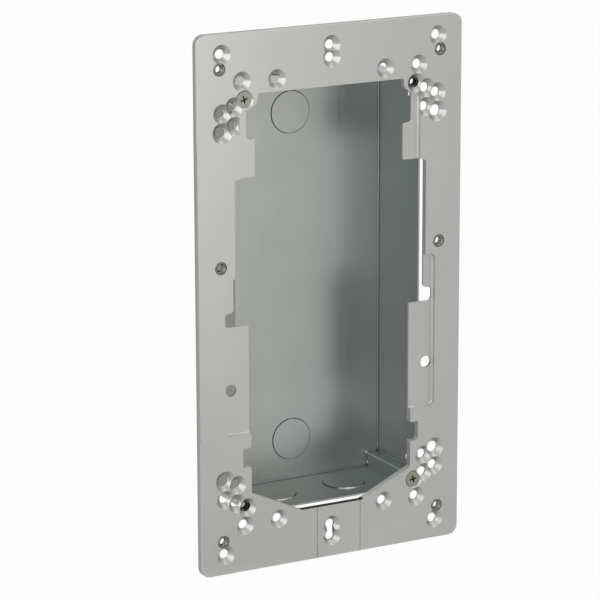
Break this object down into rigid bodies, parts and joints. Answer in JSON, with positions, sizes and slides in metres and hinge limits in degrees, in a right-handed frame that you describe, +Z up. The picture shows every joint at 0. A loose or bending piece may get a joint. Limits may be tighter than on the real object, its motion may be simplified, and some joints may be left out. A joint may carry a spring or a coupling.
{
  "type": "intercom back box",
  "caption": "Flush-mounted back box of an intercom: a folded sheet-steel box with knock-outs, screwed behind a flat drilled plate with a large opening.",
  "frame": {"origin": "centre of the plate's rear face, which seats on the wall, half way between the wall holes", "axes": "+X right seen from the front, +Y into the wall, +Z up"},
  "size_m": [0.174, 0.052, 0.32],
  "materials": {
    "aluminium": "satin anodised",
    "galvanised_steel": "zinc coated",
    "insert_steel": "turned",
    "screw_steel": "zinc plated"
  },
  "bodies": {
    "root": {"front_plate": "aluminium", "back_box": "galvanised_steel", "insert_top_left": "insert_steel", "insert_top_right": "insert_steel", "insert_middle_left": "insert_steel", "insert_middle_right": "insert_steel", "insert_bottom_left": "insert_steel", "insert_bottom_right": "insert_steel", "screw_top_left": "screw_steel", "screw_bottom_right": "screw_steel"}
  },
  "joints": []
}
